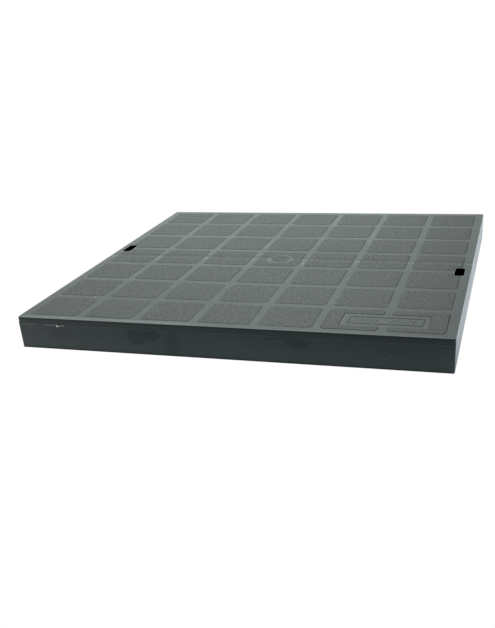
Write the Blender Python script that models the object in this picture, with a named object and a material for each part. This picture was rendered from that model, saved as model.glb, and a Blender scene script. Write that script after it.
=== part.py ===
"""Square pedestrian manhole cover with its frame, for a 400 mm inspection pit.

The frame is a plastic channel ring that beds on the pit's rim.  A push-on
rubber seal sits on the channel's inner wall.  The lid is one ribbed moulding
whose lip covers the whole frame; it carries 49 raised anti-slip pads, a marker
panel, a centre roundel and two lifting slots.  Under each slot a screwed-on cup
keeps grit and smell out and gives the lifting hook room to turn.

World frame: metres, +Z up, origin at the centre of the frame's underside.
X runs to the right and Y to the back as seen from the marker panel's side.
All sizes below are in millimetres; add_loop turns them into metres.
"""

import math

import bmesh
import bpy
from mathutils import Vector

MM = 0.001

# ---- overall ---------------------------------------------------------------
HALF = 200.0          # half of the lid's side
TOTAL_H = 31.0        # underside of the frame to the top of the pads
PAD_RISE = 0.3        # pads above the deck
DECK_TOP = TOTAL_H - PAD_RISE
LIP_BOTTOM = 26.0     # underside of the deck and of its lip
GAP = 0.3             # clearance between pieces that touch
LARGE_SEGMENTS = 4    # per corner of the deck, spigot, frame and seal

# ---- lifting slots and the screws beside them --------------------------------
PITCH = 55.6          # of the pads; every second half pitch is a smooth line
SLOT_X = 189.5
SLOT_W, SLOT_L = 9.0, 24.0
SLOTS = {"left": (-1, PITCH / 2), "right": (1, -PITCH / 2)}  # side along X, centre Y
ENDS = {"front": -1, "back": 1}

CUP_X = 183.5         # centre of the cups, their ears and screws
CUP_HALF_Y = 16.5
EAR_END = 25.5        # slot centre to the ear's tip
EAR_BOTTOM, EAR_TOP = 17.7, 20.0
SCREW_DY = (CUP_HALF_Y + EAR_END) / 2


# ---- mesh tools --------------------------------------------------------------
def rounded_rect(half_x, half_y, radius, segments, centre=(0.0, 0.0)):
    """Points of a rounded rectangle, anticlockwise from its right-hand side."""
    points = []
    for quarter, (sign_x, sign_y) in enumerate(((1, 1), (-1, 1), (-1, -1), (1, -1))):
        for i in range(segments + 1):
            angle = math.pi / 2 * (quarter + i / segments)
            x = centre[0] + sign_x * (half_x - radius) + radius * math.cos(angle)
            y = centre[1] + sign_y * (half_y - radius) + radius * math.sin(angle)
            points.append((x, y))
    return points


def square(half, radius):
    return rounded_rect(half, half, radius, LARGE_SEGMENTS)


def stadium(width, length, centre):
    """Long in Y.  The radius stops short of half the width to keep the end points apart."""
    return rounded_rect(width / 2, length / 2, width / 2 - 0.001, 8, centre)


def circle(radius, segments, centre=(0.0, 0.0)):
    points = []
    for i in range(segments):
        angle = 2 * math.pi * i / segments
        points.append((centre[0] + radius * math.cos(angle), centre[1] + radius * math.sin(angle)))
    return points


def add_loop(bm, points, z):
    return [bm.verts.new(Vector((x, y, z)) * MM) for x, y in points]


def bridge(bm, low, high):
    for i in range(len(low)):
        j = (i + 1) % len(low)
        bm.faces.new((low[i], low[j], high[j], high[i]))


def loft(bm, rings):
    """Capped solid through rings of equal length, given as (points, z)."""
    loops = [add_loop(bm, points, z) for points, z in rings]
    for low, high in zip(loops, loops[1:]):
        bridge(bm, low, high)
    bm.faces.new(loops[0][::-1])
    bm.faces.new(loops[-1])


def closed_ring(bm, rings):
    """Ring-shaped solid: like loft, but the last ring joins back to the first."""
    loops = [add_loop(bm, points, z) for points, z in rings]
    for i, loop in enumerate(loops):
        bridge(bm, loop, loops[(i + 1) % len(loops)])


def rim(bm, outer, inner, bottom, top):
    """Upright-walled ring between two outlines."""
    closed_ring(bm, [(outer, bottom), (outer, top), (inner, top), (inner, bottom)])


def sweep_section(bm, section):
    """Sweep a section round the square.  Each section point is (distance in from
    the lip's edge, z, plan radius), clockwise with the ring's outside on the left."""
    closed_ring(bm, [(square(HALF - inset, radius), z) for inset, z, radius in section])


def prism(bm, points, bottom, top):
    loft(bm, [(points, bottom), (points, top)])


def box(bm, x0, x1, y0, y1, bottom, top):
    prism(bm, [(x1, y1), (x0, y1), (x0, y0), (x1, y0)], bottom, top)


# ---- object tools ------------------------------------------------------------
def make_material(name, colour, roughness, metallic=0.0):
    material = bpy.data.materials.new(name)
    material.use_nodes = True
    shader = material.node_tree.nodes["Principled BSDF"]
    shader.inputs["Base Color"].default_value = (*colour, 1.0)
    shader.inputs["Roughness"].default_value = roughness
    shader.inputs["Metallic"].default_value = metallic
    return material


def make_object(name, build, *args, material=None):
    """Object whose mesh is filled by build(bm, *args)."""
    bm = bmesh.new()
    build(bm, *args)
    bmesh.ops.remove_doubles(bm, verts=bm.verts, dist=1e-7)
    bmesh.ops.recalc_face_normals(bm, faces=bm.faces)
    mesh = bpy.data.meshes.new(name)
    bm.to_mesh(mesh)
    bm.free()
    if material:
        mesh.materials.append(material)
    obj = bpy.data.objects.new(name, mesh)
    bpy.context.scene.collection.objects.link(obj)
    return obj


def combine(obj, operation, helper_name, build, *args):
    """Build a hidden helper, apply it to obj by a boolean modifier and return it."""
    helper = make_object(helper_name, build, *args)
    helper.hide_render = True
    helper.display_type = "WIRE"
    modifier = obj.modifiers.new(operation.lower() + "_" + helper_name, "BOOLEAN")
    modifier.operation = operation
    modifier.solver = "EXACT"
    modifier.object = helper
    return helper


def shade(obj):
    obj.data.shade_smooth()
    obj.data.set_sharp_from_angle(angle=math.radians(30))


def screw_centres(side, slot_y):
    return [(side * CUP_X, slot_y + sign * SCREW_DY) for sign in ENDS.values()]


# Added shapes are rooted a little inside their neighbours, and cutters overshoot
# the faces they open by 1 to 3 mm, so that no faces coincide.

# ---- lid: deck and pads --------------------------------------------------------
LID_CORNER = 1.6      # plan radius of the lid's corners
DECK_EDGE = (         # inset, z; bottom to top
    (0.3, LIP_BOTTOM),
    (0.0, LIP_BOTTOM + 0.3),
    (0.0, DECK_TOP - 0.8),
    (0.25, DECK_TOP - 0.25),
    (0.8, DECK_TOP),
)
RELIEF_ROOT = DECK_TOP - 0.8   # foot of the pads and panel relief, inside the deck

PAD = 48.4
PADS_PER_SIDE = 7
PAD_CORNER = 3.6
SLOT_COLLAR = 1.5     # smooth collar between a slot and the pads round it

ROUNDEL_OUTER, ROUNDEL_INNER = 14.1, 10.7
SPOKE_CENTRE = 5.6    # roundel's centre to the middle of each diagonal groove
SPOKE_HALF_L, SPOKE_HALF_W = 2.6, 1.1


def build_deck(bm):
    loft(bm, [(square(HALF - inset, LID_CORNER - inset), z) for inset, z in DECK_EDGE])


def build_pads(bm):
    middle = (PADS_PER_SIDE - 1) / 2
    for i in range(PADS_PER_SIDE):
        for j in range(PADS_PER_SIDE):
            centre = ((i - middle) * PITCH, (j - middle) * PITCH)
            outline = rounded_rect(PAD / 2, PAD / 2, PAD_CORNER, 3, centre)
            prism(bm, outline, RELIEF_ROOT, TOTAL_H)


def spoke_outline(angle):
    """Rectangle lying along a radius of the roundel."""
    ux, uy = math.cos(angle), math.sin(angle)
    length, width = SPOKE_HALF_L, SPOKE_HALF_W
    return [
        (SPOKE_CENTRE * ux + ux * along - uy * across, SPOKE_CENTRE * uy + uy * along + ux * across)
        for along, across in ((-length, -width), (length, -width), (length, width), (-length, width))
    ]


def build_pad_cuts(bm):
    """Smooth fields in the pads: marker panel, slot collars, roundel ring and grooves."""
    bottom, top = DECK_TOP - 2.0, TOTAL_H + 1.0
    panel = rounded_rect(PANEL_W / 2, PANEL_L / 2, PANEL_CORNER, 2, PANEL_CENTRE)
    prism(bm, panel, bottom, top)
    for side, slot_y in SLOTS.values():
        collar = stadium(SLOT_W + 2 * SLOT_COLLAR, SLOT_L + 2 * SLOT_COLLAR, (side * SLOT_X, slot_y))
        prism(bm, collar, bottom, top)
    rim(bm, circle(ROUNDEL_OUTER, 32), circle(ROUNDEL_INNER, 32), bottom, top)
    for i in range(4):
        prism(bm, spoke_outline(math.pi / 4 + i * math.pi / 2), bottom, top)


# ---- lid: marker panel ---------------------------------------------------------
PANEL_CENTRE = (138.4, -167.2)   # smooth field cleared of pads
PANEL_W, PANEL_L = 74.4, 28.6
PANEL_CORNER = 0.8
PLATE_CENTRE = (138.9, -167.45)  # raised rim within the field
PLATE_W, PLATE_L = 64.6, 17.1
PLATE_CORNER = 0.8
PLATE_RIM = 1.7
PLATE_TOP = TOTAL_H - 0.05

BAR_GROUPS = (-17.0, 14.5)       # X centres of the two groups, from the plate's
BARS, BAR_STEP = 5, 4.6
BAR_DY = -0.2                    # bars' centre from the plate's
BAR_HALF_L, BAR_HALF_T = 3.5, 1.0
BAR_LEAN = 1.5                   # sideways shift of each bar's end
BAR_TOP = PLATE_TOP - 0.1


def plate_outline(inset):
    half_x, half_y = PLATE_W / 2 - inset, PLATE_L / 2 - inset
    return rounded_rect(half_x, half_y, PLATE_CORNER, 2, PLATE_CENTRE)


def build_panel_relief(bm):
    """A plain rectangular rim with two groups of slanted anti-slip bars inside it."""
    rim(bm, plate_outline(0), plate_outline(PLATE_RIM), RELIEF_ROOT, PLATE_TOP)
    y = PLATE_CENTRE[1] + BAR_DY
    back, front = y + BAR_HALF_L, y - BAR_HALF_L
    for group_x in BAR_GROUPS:
        for i in range(BARS):
            x = PLATE_CENTRE[0] + group_x + (i - (BARS - 1) / 2) * BAR_STEP
            outline = [
                (x + BAR_LEAN + BAR_HALF_T, back),
                (x + BAR_LEAN - BAR_HALF_T, back),
                (x - BAR_LEAN - BAR_HALF_T, front),
                (x - BAR_LEAN + BAR_HALF_T, front),
            ]
            prism(bm, outline, RELIEF_ROOT, BAR_TOP)


# ---- lid: ribbed spigot ----------------------------------------------------------
SPIGOT = 159.5        # half of the ribbed block that drops into the frame
SPIGOT_WALL = 3.0
SPIGOT_CORNER = 4.0
SPIGOT_CHAMFER = 0.8
SPIGOT_ROOT = LIP_BOTTOM + 1.0   # top of the spigot and bosses, inside the deck
RIB_BOTTOM = 6.0
MINOR_BOTTOM = 13.0
MAJOR_RIB, MINOR_RIB = 3.0, 2.4
LAST_RIB = 5          # half pitches from the centre to the outermost rib
POCKET_TOP = LIP_BOTTOM - 0.2


def build_spigot(bm):
    foot = square(SPIGOT - SPIGOT_CHAMFER, SPIGOT_CORNER - SPIGOT_CHAMFER)
    full = square(SPIGOT, SPIGOT_CORNER)
    loft(bm, [(foot, RIB_BOTTOM), (full, RIB_BOTTOM + SPIGOT_CHAMFER), (full, SPIGOT_ROOT)])


def rib_lines(step):
    """(centre, half thickness) from one spigot wall to the other, with ribs every
    step half pitches.  Major ribs run under the smooth lines of the deck, at odd
    half pitches, and minor ribs run between them."""
    wall_centre = SPIGOT - SPIGOT_WALL / 2
    lines = [(-wall_centre, SPIGOT_WALL / 2)]
    for k in range(-LAST_RIB, LAST_RIB + 1, step):
        lines.append((k * PITCH / 2, (MAJOR_RIB if k % 2 else MINOR_RIB) / 2))
    lines.append((wall_centre, SPIGOT_WALL / 2))
    return lines


def fill_cells(bm, lines, bottom, top):
    """One box in each cell of the lattice that the rib lines make in X and Y."""
    spans = [
        (low + half_low, high - half_high)
        for (low, half_low), (high, half_high) in zip(lines, lines[1:])
    ]
    for x0, x1 in spans:
        for y0, y1 in spans:
            box(bm, x0, x1, y0, y1, bottom, top)


def build_pockets(bm):
    fill_cells(bm, rib_lines(step=1), RIB_BOTTOM - 2.0, POCKET_TOP)


def build_minor_cuts(bm):
    """Shortens the minor ribs: one box per cell of the major lattice."""
    fill_cells(bm, rib_lines(step=2), RIB_BOTTOM - 3.0, MINOR_BOTTOM)


# ---- lid: screw bosses and holes ---------------------------------------------------
BOSS_R = 4.0
PILOT_R = 1.8
PILOT_TOP = 28.2      # blind end of the screw holes


def build_bosses(bm):
    for slot in SLOTS.values():
        for centre in screw_centres(*slot):
            prism(bm, circle(BOSS_R, 16, centre), EAR_TOP + GAP, SPIGOT_ROOT)


def build_lid_holes(bm):
    for side, slot_y in SLOTS.values():
        slot = stadium(SLOT_W, SLOT_L, (side * SLOT_X, slot_y))
        prism(bm, slot, LIP_BOTTOM - 3.0, TOTAL_H + 2.0)
        for centre in screw_centres(side, slot_y):
            prism(bm, circle(PILOT_R, 12, centre), EAR_TOP - 1.0, PILOT_TOP)


def make_lid():
    """Deck, then everything added to it, then everything cut from it."""
    plastic = make_material("lid_plastic", colour=(0.030, 0.034, 0.035), roughness=0.45)
    lid = make_object("lid", build_deck, material=plastic)
    pads = combine(lid, "UNION", "helper_pads", build_pads)
    combine(pads, "DIFFERENCE", "helper_pad_cuts", build_pad_cuts)
    combine(lid, "UNION", "helper_panel_relief", build_panel_relief)
    combine(lid, "UNION", "helper_spigot", build_spigot)
    combine(lid, "UNION", "helper_bosses", build_bosses)
    combine(lid, "DIFFERENCE", "helper_pockets", build_pockets)
    combine(lid, "DIFFERENCE", "helper_minor_cuts", build_minor_cuts)
    combine(lid, "DIFFERENCE", "helper_lid_holes", build_lid_holes)
    shade(lid)
    return lid


# ---- frame -------------------------------------------------------------------
FRAME_TOP = LIP_BOTTOM - GAP
WALL_STEP = 0.4       # the outer wall stands this far inside the lip
WALL_DRAFT = 0.5      # and leans this much further in towards its foot
WALL_T = 2.7
FLOOR_T = 3.5
INNER_WALL = (34.0, 37.0)   # its two faces, distance in from the lip's edge
INNER_TOP = 18.0
CHAMFER = 0.4
GUSSET_T, GUSSET_TOP = 2.5, 12.0


def build_frame_ring(bm):
    foot = WALL_STEP + WALL_DRAFT
    channel_side = WALL_STEP + WALL_T
    near, far = INNER_WALL
    sweep_section(bm, [
        # outer wall
        (foot + CHAMFER, 0.0, 0.8),
        (foot, CHAMFER, 1.1),
        (WALL_STEP, FRAME_TOP - CHAMFER, 1.2),
        (WALL_STEP + CHAMFER, FRAME_TOP, 0.9),
        (channel_side - 0.3, FRAME_TOP, 1.6),
        (channel_side, FRAME_TOP - 0.3, 1.5),
        # channel floor
        (channel_side + 0.2, FLOOR_T, 1.5),
        (near, FLOOR_T, 5.0),
        # inner wall
        (near, INNER_TOP - CHAMFER, 5.0),
        (near + CHAMFER, INNER_TOP, 5.0),
        (far - CHAMFER, INNER_TOP, 5.0),
        (far, INNER_TOP - CHAMFER, 5.0),
        (far, CHAMFER, 5.0),
        (far - CHAMFER, 0.0, 5.0),
    ])


def build_gussets(bm):
    """Webs across the channel, five on each side, clear of the key cups."""
    inner = HALF - INNER_WALL[0] - 1.2
    outer = HALF - WALL_STEP - WALL_T + 0.9
    heights = (FLOOR_T - 1.0, GUSSET_TOP)
    for k in range(-2, 3):
        low, high = k * PITCH - GUSSET_T / 2, k * PITCH + GUSSET_T / 2
        box(bm, inner, outer, low, high, *heights)
        box(bm, -outer, -inner, low, high, *heights)
        box(bm, low, high, inner, outer, *heights)
        box(bm, low, high, -outer, -inner, *heights)


def make_frame():
    plastic = make_material("frame_plastic", colour=(0.022, 0.025, 0.027), roughness=0.38)
    frame = make_object("frame", build_frame_ring, material=plastic)
    combine(frame, "UNION", "helper_gussets", build_gussets)
    shade(frame)


# ---- seal --------------------------------------------------------------------
SEAL_GRIP = 5.5       # how far the legs reach down the inner wall


def build_seal(bm):
    """Two legs grip the frame's inner wall, and the bulb above them meets the
    underside of the lid."""
    near, far = INNER_WALL
    foot = INNER_TOP - SEAL_GRIP
    seat = INNER_TOP + GAP
    top = LIP_BOTTOM - GAP
    sweep_section(bm, [
        # outer leg and bulb
        (near - 2.2, foot, 7.0),
        (near - 2.2, top - 4.8, 7.0),
        (near - 1.5, top - 2.3, 6.4),
        (near - 0.2, top - 0.6, 6.0),
        (near + 1.5, top, 5.4),
        (near + 3.2, top - 0.6, 5.0),
        (far + 1.5, top - 2.3, 4.4),
        (far + 2.0, top - 4.8, 4.0),
        # inner leg
        (far + 2.0, foot, 4.0),
        (far + GAP, foot, 4.6),
        # slot that takes the wall
        (far + GAP, seat, 4.6),
        (near - GAP, seat, 5.4),
        (near - GAP, foot, 5.4),
    ])


def make_seal():
    rubber = make_material("seal_rubber", colour=(0.010, 0.010, 0.010), roughness=0.85)
    shade(make_object("frame_seal", build_seal, material=rubber))


# ---- key cups ----------------------------------------------------------------
CUP_HALF_X = 12.5
CUP_WALL = 1.5
CUP_FLOOR = 1.8
CUP_BOTTOM = 8.0
CUP_CHAMFER = 1.0
CUP_CORNER, CUP_INNER_CORNER = 3.0, 1.6
EAR_HALF_X = 5.5
EAR_CORNER = 2.0
EAR_HOLE_R = 1.9


def build_cup_shell(bm, side, slot_y):
    """Up the outside, over the brim and down the inside to the cup's floor."""
    def outline(inset, radius):
        centre = (side * CUP_X, slot_y)
        return rounded_rect(CUP_HALF_X - inset, CUP_HALF_Y - inset, radius, 3, centre)

    outside = outline(0.0, CUP_CORNER)
    inside = outline(CUP_WALL, CUP_INNER_CORNER)
    loft(bm, [
        (outline(CUP_CHAMFER, CUP_CORNER - CUP_CHAMFER), CUP_BOTTOM),
        (outside, CUP_BOTTOM + CUP_CHAMFER),
        (outside, LIP_BOTTOM - GAP),
        (inside, LIP_BOTTOM - GAP),
        (inside, CUP_BOTTOM + CUP_FLOOR),
    ])


def build_cup_ears(bm, side, slot_y):
    root = CUP_HALF_Y - 0.7
    for sign in ENDS.values():
        centre = (side * CUP_X, slot_y + sign * (root + EAR_END) / 2)
        ear = rounded_rect(EAR_HALF_X, (EAR_END - root) / 2, EAR_CORNER, 3, centre)
        prism(bm, ear, EAR_BOTTOM, EAR_TOP)


def build_ear_holes(bm, side, slot_y):
    for centre in screw_centres(side, slot_y):
        prism(bm, circle(EAR_HOLE_R, 12, centre), EAR_BOTTOM - 1.0, EAR_TOP + 1.0)


def make_cup(name, slot, plastic):
    cup = make_object("key_cup_" + name, build_cup_shell, *slot, material=plastic)
    combine(cup, "UNION", "helper_ears_" + name, build_cup_ears, *slot)
    combine(cup, "DIFFERENCE", "helper_ear_holes_" + name, build_ear_holes, *slot)
    shade(cup)
    return cup


# ---- screws ------------------------------------------------------------------
HEAD_R, HEAD_H = 3.2, 2.1
SHANK_R = 1.4
TIP_Z = 10.0
SCREW_PROFILE = (     # radius, z; from the head's face to the tip
    (HEAD_R - 0.9, -HEAD_H),
    (HEAD_R - 0.2, -HEAD_H + 0.5),
    (HEAD_R, -HEAD_H + 1.1),
    (HEAD_R, 0.0),
    (SHANK_R, 0.0),
    (SHANK_R, TIP_Z - 1.8),
    (0.35, TIP_Z),
)
DRIVER_HALF_W, DRIVER_REACH = 0.45, 2.0   # arms of the cross recess
DRIVER_TOP = -1.1


def build_screw(bm):
    """Pan-head self-tapping screw, head down, origin under the head."""
    loft(bm, [(circle(radius, 16), z) for radius, z in SCREW_PROFILE])


def build_driver_cross(bm):
    a, b = DRIVER_HALF_W, DRIVER_REACH
    cross = [
        (b, -a), (b, a), (a, a), (a, b), (-a, b), (-a, a),
        (-b, a), (-b, -a), (-a, -a), (-a, -b), (a, -b), (a, -a),
    ]
    prism(bm, cross, -3.0, DRIVER_TOP)


def make_screw(name, centre, steel):
    """Screw under a cup's ear; name is its slot and end."""
    screw = make_object("cup_screw_" + name, build_screw, material=steel)
    cross = combine(screw, "DIFFERENCE", "helper_driver_" + name, build_driver_cross)
    place = Vector((*centre, EAR_BOTTOM - GAP)) * MM
    screw.location = place
    cross.location = place
    shade(screw)
    return screw


# ---- assembly ------------------------------------------------------------------
def main():
    for obj in list(bpy.data.objects):
        bpy.data.objects.remove(obj)

    lid_parts = [make_lid()]
    make_frame()
    make_seal()

    cup_plastic = make_material("cup_plastic", colour=(0.008, 0.008, 0.009), roughness=0.55)
    steel = make_material("screw_steel", colour=(0.55, 0.55, 0.53), roughness=0.30, metallic=1.0)
    for name, slot in SLOTS.items():
        lid_parts.append(make_cup(name, slot, cup_plastic))
        for end, centre in zip(ENDS, screw_centres(*slot)):
            lid_parts.append(make_screw(f"{name}_{end}", centre, steel))

    # The lid and its loose fittings hang from an empty on the lift axis.
    lift = bpy.data.objects.new("lid_lift_axis", None)
    bpy.context.scene.collection.objects.link(lift)
    for part in lid_parts:
        part.parent = lift


main()
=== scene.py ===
"""A square plastic manhole cover in its frame, lying flat on the floor.

The cover is centred on the Z axis with its deck facing +Z.  The front is -Y, the
camera's side, and the right is +X.  Each piece is a fine mesh that replaces its
CAD node and rides on the same body: the lid with its grained pads, the channel
frame, the rubber seal, the two key cups and their screws.

Lengths are in millimetres in the tables and mesh functions; shader coordinates,
bump distances, the stage and the camera are in metres.  A "skin" is a bmesh.
"""

import math

import bmesh
import bpy
from mathutils import Matrix, Vector


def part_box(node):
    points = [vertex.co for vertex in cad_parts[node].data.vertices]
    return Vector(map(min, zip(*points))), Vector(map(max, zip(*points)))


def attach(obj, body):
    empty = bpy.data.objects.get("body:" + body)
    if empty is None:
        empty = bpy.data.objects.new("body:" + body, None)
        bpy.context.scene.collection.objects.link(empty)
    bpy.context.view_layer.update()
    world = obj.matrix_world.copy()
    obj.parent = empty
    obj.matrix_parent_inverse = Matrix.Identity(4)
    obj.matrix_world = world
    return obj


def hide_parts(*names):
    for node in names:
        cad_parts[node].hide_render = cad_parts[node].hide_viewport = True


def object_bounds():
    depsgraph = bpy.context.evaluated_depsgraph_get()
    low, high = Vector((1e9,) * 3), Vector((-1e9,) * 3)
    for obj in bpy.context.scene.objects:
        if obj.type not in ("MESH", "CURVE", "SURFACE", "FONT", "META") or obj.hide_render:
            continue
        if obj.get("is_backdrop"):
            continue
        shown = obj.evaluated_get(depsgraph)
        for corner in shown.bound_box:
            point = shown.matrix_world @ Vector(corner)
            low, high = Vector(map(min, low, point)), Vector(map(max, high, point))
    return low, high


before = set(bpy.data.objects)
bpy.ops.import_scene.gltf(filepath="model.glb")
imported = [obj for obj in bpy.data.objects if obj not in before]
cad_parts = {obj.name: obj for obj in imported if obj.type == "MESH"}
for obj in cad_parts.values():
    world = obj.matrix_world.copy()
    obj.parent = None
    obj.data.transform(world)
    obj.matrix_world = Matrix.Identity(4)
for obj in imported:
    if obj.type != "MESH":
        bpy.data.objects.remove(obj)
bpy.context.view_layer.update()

MM = 0.001
lid_lo, lid_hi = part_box("lid")
frame_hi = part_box("frame")[1]
seal_lo, seal_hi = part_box("frame_seal")

# ---- driving dimensions (mm) ----------------------------------------------------
HALF = lid_hi.x / MM                   # half the lid's side
TOP = lid_hi.z / MM                    # pad tops
DECK = TOP - 0.23                      # smooth deck
RISE = TOP - DECK
FRAME_HALF = frame_hi.x / MM
FRAME_TOP = frame_hi.z / MM
LIP = FRAME_TOP + 0.12                 # underside of the lip
LID_R = 2.4                            # plan radius of the lid's corners
RIB_BOTTOM = lid_lo.z / MM
SKIRT_HALF = 159.5                     # half the side of the skirt under the lid
PITCH, PAD, PAD_R = 55.6, 48.4, 4.0    # pads: spacing, side, corner radius
SLOT_W, SLOT_L = 9.0, 24.0
SLOTS = {                              # centres of the key slots
    "left": (-189.5, PITCH / 2),
    "right": (189.5, -PITCH / 2),
}
SLOT_MARGIN = 1.6                      # smooth deck between a slot and its pads
PANEL_C, PANEL = (138.4, -167.2), (74.4, 28.6)    # smooth field: centre, size
PLATE_C, PLATE = (138.9, -167.45), (64.6, 17.1)   # raised marker in that field
ROUNDEL_OUT, ROUNDEL_IN = 14.1, 10.7   # radii of the smooth ring on the middle pad
CUP_X = 183.5                          # key cups' centres, out from the middle
SCREW_REACH = 21.0                     # screws, along y from a slot's centre
KERB_OUT, KERB_IN, KERB_TOP = 34.0, 37.0, 18.0    # frame's inner wall, in from HALF

PLAIN, GRAINED, EDGE = 0, 1, 2         # the lid's material indices


# ================================================================ mesh helpers
class Poly:
    """A polygon with rounded corners, anticlockwise, that can be inset."""

    def __init__(self, corners, radius, seg=5):
        self.corners = [Vector(corner) for corner in corners]
        each = hasattr(radius, "__len__")
        self.radius = list(radius) if each else [radius] * len(self.corners)
        self.seg = seg

    def points(self, inset=0.0):
        count = len(self.corners)
        out = []
        for i, corner in enumerate(self.corners):
            before, after = self.corners[i - 1], self.corners[(i + 1) % count]
            dir_in, dir_out = (corner - before).normalized(), (after - corner).normalized()
            normal_in = Vector((-dir_in.y, dir_in.x))
            normal_out = Vector((-dir_out.y, dir_out.x))
            moved = corner + (normal_in + normal_out) * (inset / (1 + normal_in.dot(normal_out)))
            convex = dir_in.x * dir_out.y - dir_in.y * dir_out.x > 0
            radius = max(self.radius[i] + (-inset if convex else inset), 0.06)
            turn = math.acos(max(-1.0, min(1.0, dir_in.dot(dir_out))))
            start = moved - dir_in * (radius * math.tan(turn / 2))
            centre = start + (normal_in if convex else -normal_in) * radius
            first = math.atan2(start.y - centre.y, start.x - centre.x)
            sweep = turn if convex else -turn
            for k in range(self.seg + 1):
                angle = first + sweep * k / self.seg
                out.append(
                    (centre.x + radius * math.cos(angle), centre.y + radius * math.sin(angle))
                )
        return out


class Circle:
    def __init__(self, centre, radius, seg=48):
        self.centre, self.radius, self.seg = centre, radius, seg

    def points(self, inset=0.0):
        radius = self.radius - inset
        angles = [2 * math.pi * i / self.seg for i in range(self.seg)]
        x, y = self.centre
        return [(x + radius * math.cos(a), y + radius * math.sin(a)) for a in angles]


def rect(x0, x1, y0, y1, radius, seg=5):
    return Poly([(x1, y1), (x0, y1), (x0, y0), (x1, y0)], radius, seg)


def rect_at(centre, size, radius, seg=5):
    (x, y), (width, depth) = centre, size
    return rect(x - width / 2, x + width / 2, y - depth / 2, y + depth / 2, radius, seg)


def square(half, radius, seg):
    return rect(-half, half, -half, half, radius, seg)


def add_loop(skin, points, z):
    return [skin.verts.new((x * MM, y * MM, z * MM)) for x, y in points]


def bridge(skin, low, high, mat=PLAIN):
    for i in range(len(low)):
        j = (i + 1) % len(low)
        face = skin.faces.new((low[i], low[j], high[j], high[i]))
        face.material_index = mat


def bridge_all(skin, loops):
    for low, high in zip(loops, loops[1:]):
        bridge(skin, low, high)


def cap(skin, loops, mat=PLAIN):
    """Flat face between an outer loop and any holes."""
    if len(loops) == 1:
        skin.faces.new(loops[0]).material_index = mat
        return
    edges = []
    for loop in loops:
        for i, vert in enumerate(loop):
            pair = (vert, loop[(i + 1) % len(loop)])
            edges.append(skin.edges.get(pair) or skin.edges.new(pair))
    made = bmesh.ops.triangle_fill(skin, use_beauty=True, use_dissolve=False, edges=edges)
    for item in made["geom"]:
        if isinstance(item, bmesh.types.BMFace):
            item.material_index = mat


def wall(skin, outline, profile, mat=PLAIN, hole=False):
    """Sweeps rows of (inset, z) round an outline.  A hole's wall goes outward
    instead.  Returns its first and last loops."""
    sign = -1 if hole else 1
    loops = [add_loop(skin, outline.points(sign * inset), z) for inset, z in profile]
    for low, high in zip(loops, loops[1:]):
        bridge(skin, low, high, mat)
    return loops[0], loops[-1]


def ring_section(skin, section):
    """Sweeps a closed section of (distance in from HALF, z, plan radius) round
    the square."""
    loops = [
        add_loop(skin, square(HALF - inset, radius, 8).points(), z)
        for inset, z, radius in section
    ]
    for i, loop in enumerate(loops):
        bridge(skin, loop, loops[(i + 1) % len(loops)])


def tapered_bar(skin, start, end, top, bottom, top_width, foot_width):
    """A rib between two plan points hanging from top, with a rounded foot."""
    start, end = Vector(start), Vector(end)
    along = (end - start).normalized()
    side = Vector((-along.y, along.x))
    foot = foot_width / 2
    section = [                        # distance sideways, z
        (top_width / 2, top),
        (foot, bottom + 0.5), (foot - 0.18, bottom + 0.14), (foot - 0.5, bottom),
        (-foot + 0.5, bottom), (-foot + 0.18, bottom + 0.14), (-foot, bottom + 0.5),
        (-top_width / 2, top),
    ]
    ends = []
    for base in (start, end):
        ring = []
        for off, z in section:
            x, y = base.x + side.x * off, base.y + side.y * off
            ring.append(skin.verts.new((x * MM, y * MM, z * MM)))
        ends.append(ring)
    bridge(skin, ends[0], ends[1])
    skin.faces.new(ends[0][::-1])
    skin.faces.new(ends[1])


def union(base, extra):
    """One skin from two whose solids overlap."""
    objs = []
    for skin in (base, extra):
        bmesh.ops.recalc_face_normals(skin, faces=skin.faces)
        mesh = bpy.data.meshes.new("join")
        skin.to_mesh(mesh)
        skin.free()
        obj = bpy.data.objects.new("join", mesh)
        bpy.context.scene.collection.objects.link(obj)
        objs.append(obj)
    mod = objs[0].modifiers.new("join", "BOOLEAN")
    mod.operation = "UNION"
    mod.solver = "EXACT"
    mod.object = objs[1]
    mod.use_self = True
    depsgraph = bpy.context.evaluated_depsgraph_get()
    out = bmesh.new()
    out.from_mesh(objs[0].evaluated_get(depsgraph).to_mesh())
    for obj in objs:
        mesh = obj.data
        bpy.data.objects.remove(obj)
        bpy.data.meshes.remove(mesh)
    bmesh.ops.remove_doubles(out, verts=out.verts, dist=2e-6)
    return out


def finish_mesh(name, skin, mats, body, node, split=38, location=None, flats=False):
    """Turns a skin into a shaded object that rides on a body in place of a CAD node.

    Edges over split degrees are sharp.  With flats, level faces keep their own
    normals, so that a flat field stays flat up to its edge."""
    bmesh.ops.recalc_face_normals(skin, faces=skin.faces)
    skin.normal_update()
    for edge in skin.edges:
        sharp = edge.is_manifold and edge.calc_face_angle(0.0) > math.radians(split)
        if flats and not sharp and edge.is_manifold:
            level_a, level_b = (abs(face.normal.z) > 0.9999 for face in edge.link_faces)
            sharp = level_a != level_b
        edge.smooth = not sharp
    mesh = bpy.data.meshes.new(name)
    skin.to_mesh(mesh)
    skin.free()
    for mat in mats:
        mesh.materials.append(mat)
    obj = bpy.data.objects.new(name, mesh)
    bpy.context.scene.collection.objects.link(obj)
    if location is not None:
        obj.location = location
    mesh.polygons.foreach_set("use_smooth", [True] * len(mesh.polygons))
    mod = obj.modifiers.new("weighted", "WEIGHTED_NORMAL")
    mod.mode = "FACE_AREA"
    mod.weight = 60
    mod.keep_sharp = True
    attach(obj, body)
    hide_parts(node)


# ============================================================== shader helpers
def empty_tree(owner):
    owner.use_nodes = True
    owner.node_tree.nodes.clear()
    return owner.node_tree


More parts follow.
